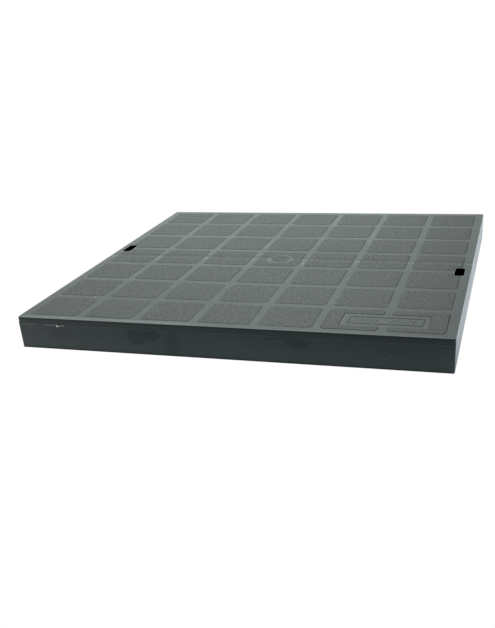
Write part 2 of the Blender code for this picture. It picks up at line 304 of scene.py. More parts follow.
class Net:
    """Short names for the shader nodes used below."""

    def __init__(self, tree, coordinates="Object"):
        self.tree = tree
        self.pos = self.node("TexCoord").outputs[coordinates]

    def node(self, kind):
        return self.tree.nodes.new("ShaderNode" + kind)

    def link(self, value, socket):
        if isinstance(value, bpy.types.NodeSocket):
            self.tree.links.new(value, socket)
        else:
            socket.default_value = value

    def noise(self, scale, detail=2.0, rough=0.5, vector=None):
        node = self.node("TexNoise")
        self.link(vector or self.pos, node.inputs["Vector"])
        node.inputs["Scale"].default_value = scale
        node.inputs["Detail"].default_value = detail
        node.inputs["Roughness"].default_value = rough
        return node.outputs["Fac"]

    def voronoi(self, scale, feature="F1"):
        node = self.node("TexVoronoi")
        node.feature = feature
        self.link(self.pos, node.inputs["Vector"])
        node.inputs["Scale"].default_value = scale
        return node.outputs

    def math(self, operation, a, b=0.0):
        node = self.node("Math")
        node.operation = operation
        for i, value in enumerate((a, b, 0.0)):
            self.link(value, node.inputs[i])
        return node.outputs[0]

    def add(self, a, b):
        return self.math("ADD", a, b)

    def sub(self, a, b):
        return self.math("SUBTRACT", a, b)

    def mul(self, a, b):
        return self.math("MULTIPLY", a, b)

    def max(self, a, b):
        return self.math("MAXIMUM", a, b)

    def abs(self, a):
        return self.math("ABSOLUTE", a)

    def remap(self, value, span, to=(0.0, 1.0), kind="LINEAR"):
        """Takes a value across span to a value across to, held at both ends."""
        node = self.node("MapRange")
        node.interpolation_type = kind
        self.link(value, node.inputs["Value"])
        keys = ("From Min", "From Max", "To Min", "To Max")
        for key, limit in zip(keys, (*span, *to)):
            self.link(limit, node.inputs[key])
        return node.outputs["Result"]

    def ease(self, value, span, to=(0.0, 1.0)):
        """As remap, along a smooth step."""
        return self.remap(value, span, to, "SMOOTHSTEP")

    def mix(self, cover, under, over, amount=None):
        """Lays the colour over on the colour under; amount scales the cover."""
        if amount is not None:
            cover = self.mul(cover, amount)
        node = self.node("Mix")
        node.data_type = "RGBA"
        self.link(cover, node.inputs[0])
        for value, socket in ((under, node.inputs[6]), (over, node.inputs[7])):
            is_socket = isinstance(value, bpy.types.NodeSocket)
            self.link(value if is_socket else (*value, 1.0), socket)
        return node.outputs[2]

    def stretched(self, scale, turn=0.0):
        """Coordinates scaled per axis and turned about Z (radians)."""
        node = self.node("Mapping")
        self.link(self.pos, node.inputs["Vector"])
        node.inputs["Scale"].default_value = scale
        node.inputs["Rotation"].default_value = (0, 0, turn)
        return node.outputs["Vector"]

    def xyz(self):
        node = self.node("SeparateXYZ")
        self.link(self.pos, node.inputs[0])
        return tuple(node.outputs)

    def bump(self, height, distance, strength=1.0, normal=None):
        node = self.node("Bump")
        self.link(height, node.inputs["Height"])
        node.inputs["Distance"].default_value = distance
        node.inputs["Strength"].default_value = strength
        if normal is not None:
            self.link(normal, node.inputs["Normal"])
        return node.outputs["Normal"]


def new_material(name):
    """A material, its net and the inputs of its Principled shader."""
    mat = bpy.data.materials.new(name)
    tree = empty_tree(mat)
    out = tree.nodes.new("ShaderNodeOutputMaterial")
    shader = tree.nodes.new("ShaderNodeBsdfPrincipled")
    tree.links.new(shader.outputs["BSDF"], out.inputs["Surface"])
    return mat, Net(tree), shader.inputs


def mm(*lengths):
    return tuple(length * MM for length in lengths)


def brighter(colour, factor):
    return tuple(channel * factor for channel in colour)


def spot(net, u, v, at, size, soft=0.5):
    """1 inside an ellipse in the plane of coordinates u and v (mm), 0 outside it."""
    du = net.math("DIVIDE", net.sub(u, at[0] * MM), size[0] * MM)
    dv = net.math("DIVIDE", net.sub(v, at[1] * MM), size[1] * MM)
    square_sum = net.add(net.mul(du, du), net.mul(dv, dv))
    return net.ease(square_sum, (1.0 - soft, 1.0 + soft), (1.0, 0.0))


def band(net, value, span, soft, unit=MM):
    """1 across the span, falling to 0 over soft on both sides, all in the unit."""
    lo, hi = span
    up = net.ease(value, ((lo - soft) * unit, lo * unit))
    down = net.ease(value, (hi * unit, (hi + soft) * unit), (1.0, 0.0))
    return net.mul(up, down)


def slot_distance(net, across, y, slot_y):
    """Distance from a slot's middle line, given the offset across it."""
    along = net.abs(net.sub(y, slot_y * MM))
    along = net.max(net.sub(along, (SLOT_L - SLOT_W) / 2 * MM), 0.0)
    return net.math("SQRT", net.add(net.mul(across, across), net.mul(along, along)))


# =============================================================== wear, marks and painted light
# Nicks and painted glints (highlights) on the lid's top: place (x, y), half size, tone.
NICKS_AND_GLINTS = [
    ((26.2, -12.0), (0.9, 1.4), 0.004), ((28.9, -14.6), (0.9, 2.3), 0.36),
    ((-167.8, -27.4), (3.0, 1.0), 0.17), ((-168.0, -83.2), (1.8, 1.0), 0.20),
    ((-149.6, -139.3), (0.9, 1.4), 0.20), ((-154.0, -196.6), (2.2, 1.2), 0.24),
    ((-172.8, -196.6), (1.2, 1.2), 0.24), ((-183.9, 30.0), (1.1, 2.4), 0.22),
    ((192.0, -41.0), (1.6, 0.8), 0.20),
]
# Burr on the frame's upper front edge: span in x, softness, span in z, tone.
BURR = [
    ((-197.0, -182.0), 2.5, (23.9, 24.7), 0.135),
    ((-170.5, -162.0), 3.0, (23.8, 24.4), 0.190),
    ((-157.0, -152.5), 1.2, (23.6, 24.3), 0.290),
    ((-160.0, -157.9), 0.5, (22.8, 24.4), 0.72),
]
CHIP = ((-157.6, 25.0), (1.7, 0.8))    # place (x, z), half size
# Marks on the front of the frame: place (x, z), half size, depth.
STAINS = [
    ((-80.0, 16.5), (8.2, 7.4), 0.42),
    ((-64.0, 18.8), (7.0, 5.4), 0.42),
    ((-72.0, 21.6), (13.0, 2.4), 0.42),
]
CLOUDS = [
    ((-46.0, 11.0), (7.0, 13.0), 0.22), ((70.0, 18.0), (10.0, 3.6), 0.34),
    ((58.0, 22.5), (18.0, 1.6), 0.28), ((-158.0, 17.0), (13.0, 6.5), 0.22),
]
# Pale specks on the front of the frame: place (x, z), half size, tone.
GRIT = [
    ((-137.8, 18.3), (0.6, 0.6), 0.16), ((-142.6, 7.1), (0.6, 0.6), 0.16),
    ((-120.8, 8.3), (0.6, 0.6), 0.13), ((-187.0, 21.5), (1.0, 0.5), 0.16),
    ((148.6, 12.5), (0.7, 0.7), 0.14), ((137.1, 10.0), (0.8, 0.6), 0.10),
    ((129.8, 19.4), (0.6, 0.6), 0.10),
]


def lid_wear_and_light(net, colour):
    """Pale edges and nicks of the lid's top and lip, with painted light: highlights on its edges,
    slot rims and right face, and shade high on its front face.
    """
    x, y, z = net.xyz()
    top = net.remap(z, mm(DECK - 0.35, DECK - 0.15))
    face = HALF - 0.6                  # beyond this lies the lip's upright face
    # front edge: a pale band, most on the left, and a painted highlight along the very edge
    pale_edge = net.mul(net.ease(y, (-0.1920, -0.1955)), net.ease(x, (-0.070, 0.035), (0.85, 0.0)))
    pale_edge = net.max(pale_edge, net.ease(y, (-0.1968, -0.1988), (0.0, 0.42)))
    colour = net.mix(net.mul(pale_edge, top), colour, over=(0.150, 0.164, 0.166), amount=1.0)
    # painted highlights on the rims of the slots
    for (slot_x, slot_y), amount in ((SLOTS["left"], 0.48), (SLOTS["right"], 0.60)):
        away = slot_distance(net, net.sub(x, slot_x * MM), y, slot_y)
        rim = band(net, away, (5.0, 5.5), soft=0.4)
        colour = net.mix(net.mul(rim, top), colour, over=(0.15, 0.16, 0.155), amount=amount)
    # nicks, and painted glints where the top would catch the light
    for at, size, tone in NICKS_AND_GLINTS:
        cover = net.mul(spot(net, x, y, at, size), top)
        colour = net.mix(cover, colour, over=(tone, tone * 1.03, tone))
    # the lip's face, painted paler towards its lower edge as light from below
    out = net.max(net.abs(x), net.abs(y))
    out = net.mul(net.math("GREATER_THAN", out, face * MM), net.sub(1.0, top))
    pale = net.mul(out, net.remap(z, mm(LIP, DECK - 1.4), (0.78, 0.10)))
    colour = net.mix(pale, colour, over=(0.064, 0.073, 0.074))
    # painted shade: a dark line high on the front face, under the edge
    front = net.math("LESS_THAN", y, -face * MM)
    dark = net.mul(front, net.ease(z, mm(DECK - 1.6, DECK - 0.9), (0.0, 0.4)))
    colour = net.mix(net.mul(dark, out), colour, over=(0.008, 0.009, 0.0095))
    # painted highlight on the upper part of the right face
    right = net.math("GREATER_THAN", x, face * MM)
    right = net.mul(right, net.ease(z, mm(DECK - 3.2, DECK - 0.8), (0.0, 0.7)))
    return net.mix(right, colour, over=(0.15, 0.16, 0.15))


def frame_wear_and_light(net, colour):
    """Water marks, pale specks, a burr, a chip and a painted highlight along the upper edge on
    the front of the frame's wall.
    """
    x, y, z = net.xyz()
    front = net.math("LESS_THAN", y, -(HALF - 2.0) * MM)
    # the marks' outlines waver
    wobble = net.remap(net.noise(scale=60.0), (0.0, 1.0), (-0.0035, 0.0035))
    wavy_x, wavy_z = net.add(x, wobble), net.sub(z, wobble)
    mark = 0.0
    for marks, soft in ((STAINS, 0.25), (CLOUDS, 0.9)):
        for at, size, depth in marks:
            one = net.mul(spot(net, wavy_x, wavy_z, at, size, soft), depth)
            mark = net.max(mark, one)
    colour = net.mix(net.mul(mark, front), colour, over=(0.004, 0.005, 0.0055))
    for at, size, tone in GRIT:
        cover = net.mul(spot(net, x, z, at, size), front)
        colour = net.mix(cover, colour, over=(tone, tone, tone * 0.95))
    # painted highlight along the upper edge, with a burr and a small chip near the left corner
    pale_edge = 0.10
    edge = band(net, z, (FRAME_TOP - 1.5, FRAME_TOP - 0.8), soft=0.5)
    colour = net.mix(net.mul(edge, net.mul(pale_edge, front)), colour, over=(0.16, 0.17, 0.17))
    for span_x, soft, span_z, tone in BURR:
        line = net.mul(band(net, x, span_x, soft), band(net, z, span_z, soft=0.3))
        colour = net.mix(net.mul(line, front), colour, over=(tone, tone * 1.03, tone))
    chip = net.mul(spot(net, x, z, *CHIP), front)
    return net.mix(chip, colour, over=(0.001, 0.001, 0.001))


def slot_shade(net):
    """1 on the walls of the slots, which are painted black as shade."""
    x, y, z = net.xyz()
    near = 1.0
    for slot_x, slot_y in SLOTS.values():
        across = net.abs(net.sub(x, slot_x * MM))
        near = net.math("MINIMUM", near, slot_distance(net, across, y, slot_y))
    inside = net.remap(near, mm(5.6, 6.2), (1.0, 0.0))
    below_deck = net.remap(z, mm(DECK - 0.5, DECK - 0.2), (1.0, 0.0))
    return net.mul(inside, net.mul(below_deck, net.remap(z, mm(20.0, 21.0))))


def sink_mark(net, normal):
    """Adds a shallow sink mark across the deck over the middle rib."""
    _, y, _ = net.xyz()
    away = net.abs(net.sub(y, 0.0010))
    return net.bump(net.ease(away, (0.0, 0.0085)), distance=0.00028, normal=normal)


def scuffs(net):
    """Fine straight scuffs in two directions, 0 to 1, mostly 0."""
    first = net.noise(scale=1.0, rough=0.6, vector=net.stretched((14, 900, 40), turn=0.5))
    second = net.noise(scale=1.0, rough=0.6, vector=net.stretched((1100, 17, 40), turn=-0.25))
    cover = net.noise(scale=16.0)
    first = net.ease(first, (0.70, 0.80))
    second = net.ease(second, (0.71, 0.80))
    return net.mul(net.max(first, second), net.remap(cover, (0.45, 0.7)))


def specks(net, scale, size):
    """Isolated specks, in the few cells whose random red channel is high."""
    cells = net.voronoi(scale)
    near = net.remap(cells["Distance"], (size * 0.6, size), (1.0, 0.0))
    channels = net.node("SeparateColor")
    net.link(cells["Color"], channels.inputs[0])
    return net.mul(near, net.math("GREATER_THAN", channels.outputs[0], 0.86))


# ================================================================== materials
def satin_plastic(name, dark, light, rough, marks_and_light, deck=False):
    """Smooth moulded plastic; deck adds the painted shade that blackens the lid's slots, and the
    sink mark.
    """
    mat, net, shader = new_material(name)
    mottle = net.noise(scale=11.0, detail=3.0, rough=0.55)
    fine = net.noise(scale=420.0, rough=0.6)
    colour = net.mix(net.remap(mottle, (0.3, 0.7)), dark, light)
    colour = net.mix(net.remap(fine, (0.3, 0.7), (0.0, 0.28)), colour, brighter(light, 1.5))
    scuff = scuffs(net)
    colour = net.mix(scuff, colour, over=(0.16, 0.17, 0.17), amount=0.02)
    pale = specks(net, scale=30.0, size=0.012)
    colour = net.mix(pale, colour, over=(0.30, 0.31, 0.30), amount=0.22)
    colour = marks_and_light(net, colour)
    if deck:
        # painted shade: the slots' walls go black and lose their gloss
        shade = slot_shade(net)
        colour = net.mix(shade, colour, over=(0.0008, 0.0008, 0.0008))
        full_specular = 0.5
        specular = net.mul(net.sub(1.0, shade), full_specular)
        net.link(specular, shader["Specular IOR Level"])
    net.link(colour, shader["Base Color"])
    # wiped streaks and the scuffs vary the gloss
    streaks = net.stretched((9, 26, 18), turn=0.35)
    wipe = net.noise(scale=1.0, detail=3.0, rough=0.6, vector=streaks)
    scuff_rough = 0.015
    gloss = net.add(net.remap(wipe, (0.3, 0.7), rough), net.mul(scuff, scuff_rough))
    net.link(gloss, shader["Roughness"])
    shader["IOR"].default_value = 1.5
    normal = net.bump(net.noise(scale=42.0), distance=0.00010, strength=0.5)
    grit = net.noise(scale=900.0, rough=0.6)
    normal = net.bump(grit, distance=0.00003, strength=0.2, normal=normal)
    if deck:
        normal = sink_mark(net, normal)
    net.link(normal, shader["Normal"])
    return mat


def grained_plastic(name, dark, light):
    """Spark-eroded grain of the anti-slip pads, painted darker on the right as shade."""
    mat, net, shader = new_material(name)
    lumps = net.noise(scale=640.0, rough=0.6)
    pits = net.voronoi(scale=1100.0, feature="SMOOTH_F1")["Distance"]
    fine = net.noise(scale=1900.0, rough=0.6)
    pit_height, fine_height = 0.6, 0.25    # against lumps of 1
    height = net.add(net.mul(pits, pit_height), lumps)
    height = net.add(height, net.mul(fine, fine_height))
    mottle = net.noise(scale=7.0)
    colour = net.mix(net.remap(lumps, (0.38, 0.62)), dark, light)
    # coarser dark grain, deeper towards the back; on the right the pads are painted darker as
    # shade
    coarse = net.noise(scale=1.0, detail=1.0, vector=net.stretched((330, 150, 260)))
    deep = net.remap(net.xyz()[1], (-0.16, -0.02), (0.58, 0.86))
    colour = net.mix(net.mul(net.remap(coarse, (0.38, 0.62)), deep), colour, dark)
    # painted shade: the pads darken towards the right
    colour = net.mix(net.ease(net.xyz()[0], (0.11, 0.19), (0.0, 0.24)), colour, dark)
    colour = net.mix(net.remap(mottle, (0.35, 0.65), (0.0, 0.18)), colour, light)
    colour = net.mix(net.remap(fine, (0.60, 0.74), (0.0, 0.35)), colour, brighter(light, 1.6))
    colour = net.mix(scuffs(net), colour, over=(0.17, 0.18, 0.18), amount=0.10)
    pale = specks(net, scale=34.0, size=0.014)
    colour = net.mix(pale, colour, over=(0.34, 0.35, 0.34), amount=0.4)
    net.link(colour, shader["Base Color"])
    net.link(net.remap(lumps, (0.34, 0.66), (0.48, 0.34)), shader["Roughness"])
    shader["IOR"].default_value = 1.5
    normal = net.bump(height, distance=0.00005)
    net.link(sink_mark(net, normal), shader["Normal"])
    return mat


def step_plastic(name):
    """The steep little edges of the pads, painted dark as shade so that they show dark lines
    and no highlights; the painted shade is lighter at the back and on the left."""
    mat, net, shader = new_material(name)
    blotch = net.noise(scale=260.0, detail=3.0, rough=0.6)
    x, y, _ = net.xyz()
    # painted shade lifted at the back and on the left
    less_shade = net.max(net.ease(y, (-0.152, -0.138)), net.ease(x, (0.036, 0.062), (1.0, 0.0)))
    cover = net.remap(blotch, (0.3, 0.7))
    # painted shade: dark blotchy walls with less gloss
    colour = net.mix(cover, (0.008, 0.0085, 0.0085), (0.024, 0.0255, 0.0255))
    colour = net.mix(less_shade, colour, over=(0.046, 0.0485, 0.0485), amount=0.85)
    net.link(colour, shader["Base Color"])
    net.link(net.remap(blotch, (0.3, 0.7), (0.38, 0.52)), shader["Roughness"])
    net.link(net.remap(less_shade, (0.0, 1.0), (0.36, 0.44)), shader["Specular IOR Level"])
    grit = net.noise(scale=900.0, rough=0.6)
    net.link(net.bump(grit, distance=0.00003, strength=0.4), shader["Normal"])
    return mat


def rubber(name):
    mat, net, shader = new_material(name)
    dust = net.noise(scale=70.0, detail=4.0, rough=0.65)
    dust = net.remap(dust, (0.45, 0.75), (0.0, 0.35))
    colour = net.mix(dust, (0.010, 0.010, 0.0105), over=(0.045, 0.044, 0.041))
    net.link(colour, shader["Base Color"])
    gloss = net.noise(scale=200.0, detail=3.0)
    net.link(net.remap(gloss, (0.3, 0.7), (0.62, 0.85)), shader["Roughness"])
    grit = net.noise(scale=1200.0, detail=3.0, rough=0.6)
    net.link(net.bump(grit, distance=0.00005, strength=0.8), shader["Normal"])
    return mat


def black_plastic(name):
    mat, net, shader = new_material(name)
    mottle = net.remap(net.noise(scale=90.0, detail=3.0), (0.3, 0.7))
    # black plastic, painted darker and duller still as shade, so that the cups' insides read
    # black through the slots
    colour = net.mix(mottle, (0.0012, 0.0012, 0.0013), (0.003, 0.003, 0.0032))
    net.link(colour, shader["Base Color"])
    shader["Specular IOR Level"].default_value = 0.12
    gloss = net.noise(scale=160.0)
    net.link(net.remap(gloss, (0.3, 0.7), (0.50, 0.66)), shader["Roughness"])
    grit = net.noise(scale=1500.0, rough=0.6)
    net.link(net.bump(grit, distance=0.00003, strength=0.7), shader["Normal"])
    return mat


def stainless(name):
    mat, net, shader = new_material(name)
    turned = net.noise(scale=1.0, rough=0.6, vector=net.stretched((900, 900, 6000)))
    colour = net.mix(net.remap(turned, (0.3, 0.7)), (0.46, 0.46, 0.45), (0.62, 0.62, 0.60))
    net.link(colour, shader["Base Color"])
    shader["Metallic"].default_value = 1.0
    gloss = net.noise(scale=700.0)
    net.link(net.remap(gloss, (0.3, 0.7), (0.22, 0.36)), shader["Roughness"])
    net.link(net.bump(turned, distance=0.00002, strength=0.5), shader["Normal"])
    return mat


LID_SATIN = satin_plastic(
    "lid_satin", dark=(0.030, 0.034, 0.035), light=(0.037, 0.041, 0.042),
    rough=(0.24, 0.33), marks_and_light=lid_wear_and_light, deck=True,
)
LID_GRAIN = grained_plastic(
    "lid_grain", dark=(0.014, 0.0145, 0.0145), light=(0.090, 0.0925, 0.0925)
)
FRAME_SATIN = satin_plastic(
    "frame_satin", dark=(0.046, 0.054, 0.0545), light=(0.056, 0.065, 0.066),
    rough=(0.27, 0.37), marks_and_light=frame_wear_and_light,
)
# painted shade on the pads' steep edges
PAD_EDGES = step_plastic("lid_pad_edges")
RUBBER = rubber("seal_rubber_black")
BLACK = black_plastic("cup_plastic_black")
STEEL = stainless("screw_stainless")


# ======================================================================== lid
def pad_wall(insets, shares):
    """Rows of (inset, z) from deck to pad top; shares of the rise lie between."""
    return list(zip(insets, [DECK, *(DECK + share * RISE for share in shares), TOP]))


PAD_CRISP = pad_wall((-0.26, -0.10, 0.06, 0.22, 0.40, 0.62), (0.12, 0.40, 0.74, 0.94))
PAD_SOFT = pad_wall((-0.26, -0.08, 0.12, 0.34, 0.58, 0.86), (0.11, 0.38, 0.70, 0.92))
PAD_WORN = pad_wall((-0.36, -0.14, 0.16, 0.52, 0.84, 1.16), (0.10, 0.38, 0.74, 0.94))

# Other profiles: rows of (inset, z).
ROUNDEL_STEP = [
    (-0.20, TOP - 0.13), (-0.06, TOP - 0.11), (0.10, TOP - 0.05), (0.24, TOP - 0.01), (0.42, TOP),
]
BAR_SUNK = [
    (-0.22, TOP - 0.26), (-0.08, TOP - 0.23), (0.08, TOP - 0.13), (0.22, TOP - 0.03), (0.38, TOP),
]
PLATE_RELIEF = [
    (-0.22, DECK), (-0.08, DECK + 0.04), (0.06, DECK + 0.14),
    (0.20, DECK + 0.21), (0.36, DECK + 0.24),
]
BAR_RELIEF = [(-0.18, DECK), (-0.04, DECK + 0.03), (0.10, DECK + 0.10), (0.26, DECK + 0.14)]
LIP_EDGE = [
    (0.50, LIP), (0.14, LIP + 0.04), (0.03, LIP + 0.15), (0.00, LIP + 0.34),
    (0.00, DECK - 0.36), (0.03, DECK - 0.21), (0.10, DECK - 0.09),
    (0.21, DECK - 0.03), (0.36, DECK),
]
SLOT_WALL = [
    (0.25, LIP), (0.05, LIP + 0.08), (0.0, LIP + 0.3), (0.0, DECK - 0.60),
    (0.08, DECK - 0.30), (0.26, DECK - 0.10), (0.60, DECK),
]
BOSS_FOOT = 20.3
BOSS_WALL = [
    (-0.5, LIP), (-0.12, LIP - 0.15), (0.0, LIP - 0.5),
    (0.0, 20.9), (0.15, 20.45), (0.4, BOSS_FOOT),
]
BOSS_HOLE = [(-0.2, BOSS_FOOT), (0.0, 20.5), (0.0, LIP + 1.0)]
SKIRT_WALL = [
    (-0.8, LIP), (-0.25, LIP - 0.2), (0.0, LIP - 0.8), (0.35, RIB_BOTTOM + 0.9),
    (0.5, RIB_BOTTOM + 0.3), (1.0, RIB_BOTTOM),
]
LEDGE = 13.0                           # foot of the shallow ribs
POCKET_WALL = [
    (-0.45, RIB_BOTTOM), (-0.12, RIB_BOTTOM + 0.12), (0.0, RIB_BOTTOM + 0.5), (0.12, LEDGE),
]
WELL_WALL = [(-0.14, LEDGE), (0.0, LEDGE + 0.3), (0.25, LIP - 0.9), (0.45, LIP - 0.3), (1.0, LIP)]
EJECTOR_WALL = [(0.0, LIP), (0.0, LIP - 0.2), (0.15, LIP - 0.3)]


def pad_outline(i, j):
    """Pad i, j of the 7 by 7 field, cut back where the panel or a slot needs room."""
    x, y, half = i * PITCH, j * PITCH, PAD / 2
    x0, x1, y0, y1 = x - half, x + half, y - half, y + half
    if j == -3 and i in (2, 3):
        notch = 1.2                    # corner radius at the panel
        panel_x0, panel_x1 = PANEL_C[0] - PANEL[0] / 2, PANEL_C[0] + PANEL[0] / 2
        panel_y0, panel_y1 = PANEL_C[1] - PANEL[1] / 2, PANEL_C[1] + PANEL[1] / 2
        if i == 2:
            return Poly(
                [(x1, y0), (x1, panel_y0), (panel_x0, panel_y0), (panel_x0, panel_y1),
                 (x1, panel_y1), (x1, y1), (x0, y1), (x0, y0)],
                [PAD_R] + [notch] * 4 + [PAD_R] * 3,
            )
        return Poly(
            [(x0, y1), (x0, panel_y1), (panel_x1, panel_y1), (panel_x1, panel_y0),
             (x0, panel_y0), (x0, y0), (x1, y0), (x1, y1)],
            [PAD_R] + [notch] * 4 + [PAD_R] * 3,
        )
    near = 30
    for slot_x, slot_y in SLOTS.values():
        if abs(x - slot_x) > near or abs(y - slot_y) > near:
            continue
        side = 1 if slot_x > 0 else -1
        cut = side * (abs(slot_x) - SLOT_W / 2 - SLOT_MARGIN)
        reach = SLOT_L / 2 + SLOT_MARGIN
        inner, outer = side * (abs(x) - half), side * (abs(x) + half)
        if y > slot_y:
            end = slot_y + reach
            corners = [(cut, y0), (cut, end), (outer, end), (outer, y1), (inner, y1), (inner, y0)]
            radii = [1.5, 4.0, 1.5, PAD_R, PAD_R, PAD_R]
        else:
            end = slot_y - reach
            corners = [(inner, y1), (inner, y0), (outer, y0), (outer, end), (cut, end), (cut, y1)]
            radii = [PAD_R, PAD_R, PAD_R, 1.5, 4.0, 1.5]
        if side < 0:
            corners, radii = corners[::-1], radii[::-1]
        return Poly(corners, radii)
    return rect(x0, x1, y0, y1, PAD_R)


def build_roundel(skin, pad_top):
    """A shallow smooth ring round a grained disc with four smooth bars."""
    ring_low, ring_high = wall(skin, Circle((0, 0), ROUNDEL_OUT), ROUNDEL_STEP, hole=True)
    cap(skin, [pad_top, ring_high], GRAINED)
    disc_low, disc_high = wall(skin, Circle((0, 0), ROUNDEL_IN), ROUNDEL_STEP)
    cap(skin, [ring_low, disc_low])
    away, half_l, half_w = 5.6, 2.6, 1.3    # bars: distance from centre, half sizes
    tops = [disc_high]
    for k in range(4):
        angle = math.pi / 4 + k * math.pi / 2
        out = Vector((math.cos(angle), math.sin(angle)))
        side = Vector((-math.sin(angle), math.cos(angle)))
        centre = out * away
        corners = [
            centre + out * half_l - side * half_w, centre + out * half_l + side * half_w,
            centre - out * half_l + side * half_w, centre - out * half_l - side * half_w,
        ]
        low, high = wall(skin, Poly(corners, 0.8, seg=3), BAR_SUNK, EDGE, hole=True)
        cap(skin, [low])
        tops.append(high)
    cap(skin, tops, GRAINED)


def build_marker(skin):
    """Marker with a plain rim and two groups of slanted bars.  Returns its foot."""
    rim = 1.7
    foot, high = wall(skin, rect_at(PLATE_C, PLATE, 0.9, seg=3), PLATE_RELIEF, EDGE)
    inner = rect_at(PLATE_C, (PLATE[0] - 2 * rim, PLATE[1] - 2 * rim), 0.5, seg=3)
    inner_low, inner_high = wall(skin, inner, PLATE_RELIEF, EDGE, hole=True)
    cap(skin, [high, inner_high])
    floor = [inner_low]
    spacing, lean, half_w, half_h = 4.6, 1.5, 1.0, 3.5
    for group in (-17.0, 14.5):        # group centres, from the plate's
        for k in range(5):
            x = PLATE_C[0] + group + (k - 2) * spacing
            y = PLATE_C[1] - 0.2
            corners = [
                (x + lean + half_w, y + half_h), (x + lean - half_w, y + half_h),
                (x - lean - half_w, y - half_h), (x - lean + half_w, y - half_h),
            ]
            low, high = wall(skin, Poly(corners, 0.4, seg=2), BAR_RELIEF, EDGE)
            floor.append(low)
            cap(skin, [high])
    cap(skin, floor)
    return foot


def build_top(skin):
    """Upper skin: lip edge, deck, pads, roundel and marker.  Returns the loops left
    open on the underside."""
    foot, crest = wall(skin, square(HALF, LID_R, 6), LIP_EDGE)
    under, deck = [foot], [crest]
    for centre in SLOTS.values():
        outline = rect_at(centre, (SLOT_W, SLOT_L), SLOT_W / 2 * 0.78)
        low, high = wall(skin, outline, SLOT_WALL, hole=True)
        under.append(low)
        deck.append(high)
    for i in range(-3, 4):
        for j in range(-3, 4):
            # worn near the front; the front row's last two pads stay crisp
            if j == -2 or (j == -3 and i < 2):
                profile, mat = PAD_WORN, GRAINED
            else:
                profile, mat = (PAD_CRISP if j == -3 else PAD_SOFT), EDGE
            # EDGE walls take the pads' painted edge shade
            low, high = wall(skin, pad_outline(i, j), profile, mat)
            deck.append(low)
            if i or j:
                cap(skin, [high], GRAINED)
            else:
                build_roundel(skin, high)
    deck.append(build_marker(skin))
    cap(skin, deck)
    return under


def well_spans(lo, hi, split):
    """Spans of the wells between lo and hi, parted by a shallow rib if split."""
    edges = [lo, (lo + hi) / 2, hi] if split else [lo, hi]
    return [
        (start + (0.3 if start == lo else 1.0), end - (0.3 if end == hi else 1.0))
        for start, end in zip(edges, edges[1:])
    ]


def build_pocket(skin, span_x, span_y, split_x, split_y):
    """Pocket between deep ribs, with its wells.  Returns the loop at its mouth."""
    mouth, ledge = wall(skin, rect(*span_x, *span_y, 2.6, seg=3), POCKET_WALL)
    step = [ledge]
    for m, (x0, x1) in enumerate(well_spans(*span_x, split_x)):
        for n, (y0, y1) in enumerate(well_spans(*span_y, split_y)):
            low, ceiling = wall(skin, rect(x0, x1, y0, y1, 2.2, seg=3), WELL_WALL)
            step.append(low)
            if m or n or not (split_x and split_y):
                cap(skin, [ceiling])
                continue
            mark = Circle(((x0 + x1) / 2, (y0 + y1) / 2), 3.0, seg=20)
            mark_low, mark_high = wall(skin, mark, EJECTOR_WALL)
            cap(skin, [ceiling, mark_low])
            cap(skin, [mark_high])
    cap(skin, step)
    return mouth


def build_underside(skin, under):
    """Lip underside with screw bosses, locating skirt, and two depths of ribs."""
    for slot_x, slot_y in SLOTS.values():
        for end in (-1, 1):
            at = (math.copysign(CUP_X, slot_x), slot_y + end * SCREW_REACH)
            low, foot = wall(skin, Circle(at, 4.0, seg=28), BOSS_WALL)
            under.append(low)
            mouth, deep = wall(skin, Circle(at, 1.7, seg=20), BOSS_HOLE)
            cap(skin, [foot, mouth])
            cap(skin, [deep])
    # Skirt that drops inside the frame's seal.
    low, skirt_foot = wall(skin, square(SKIRT_HALF, 4.0, 6), SKIRT_WALL)
    under.append(low)
    cap(skin, under)
    # Middle lines of the deep ribs, between the skirt's inner faces.
    inner = SKIRT_HALF - 3.2
    lines = [-inner] + [k * (PITCH / 2) for k in (-5, -3, -1, 1, 3, 5)] + [inner]
    half_rib = [0.0] + [1.4] * 6 + [0.0]
    spans = [
        (lines[i] + half_rib[i], lines[i + 1] - half_rib[i + 1]) for i in range(7)
    ]
    face = [skirt_foot]
    for i in range(7):
        for j in range(7):
            face.append(build_pocket(skin, spans[i], spans[j], 0 < i < 6, 0 < j < 6))
    cap(skin, face)


def build_lid():
    skin = bmesh.new()
    build_underside(skin, build_top(skin))
    return skin


finish_mesh(
    "lid_moulding", build_lid(), [LID_SATIN, LID_GRAIN, PAD_EDGES],
    "lid", "lid", flats=True,
)


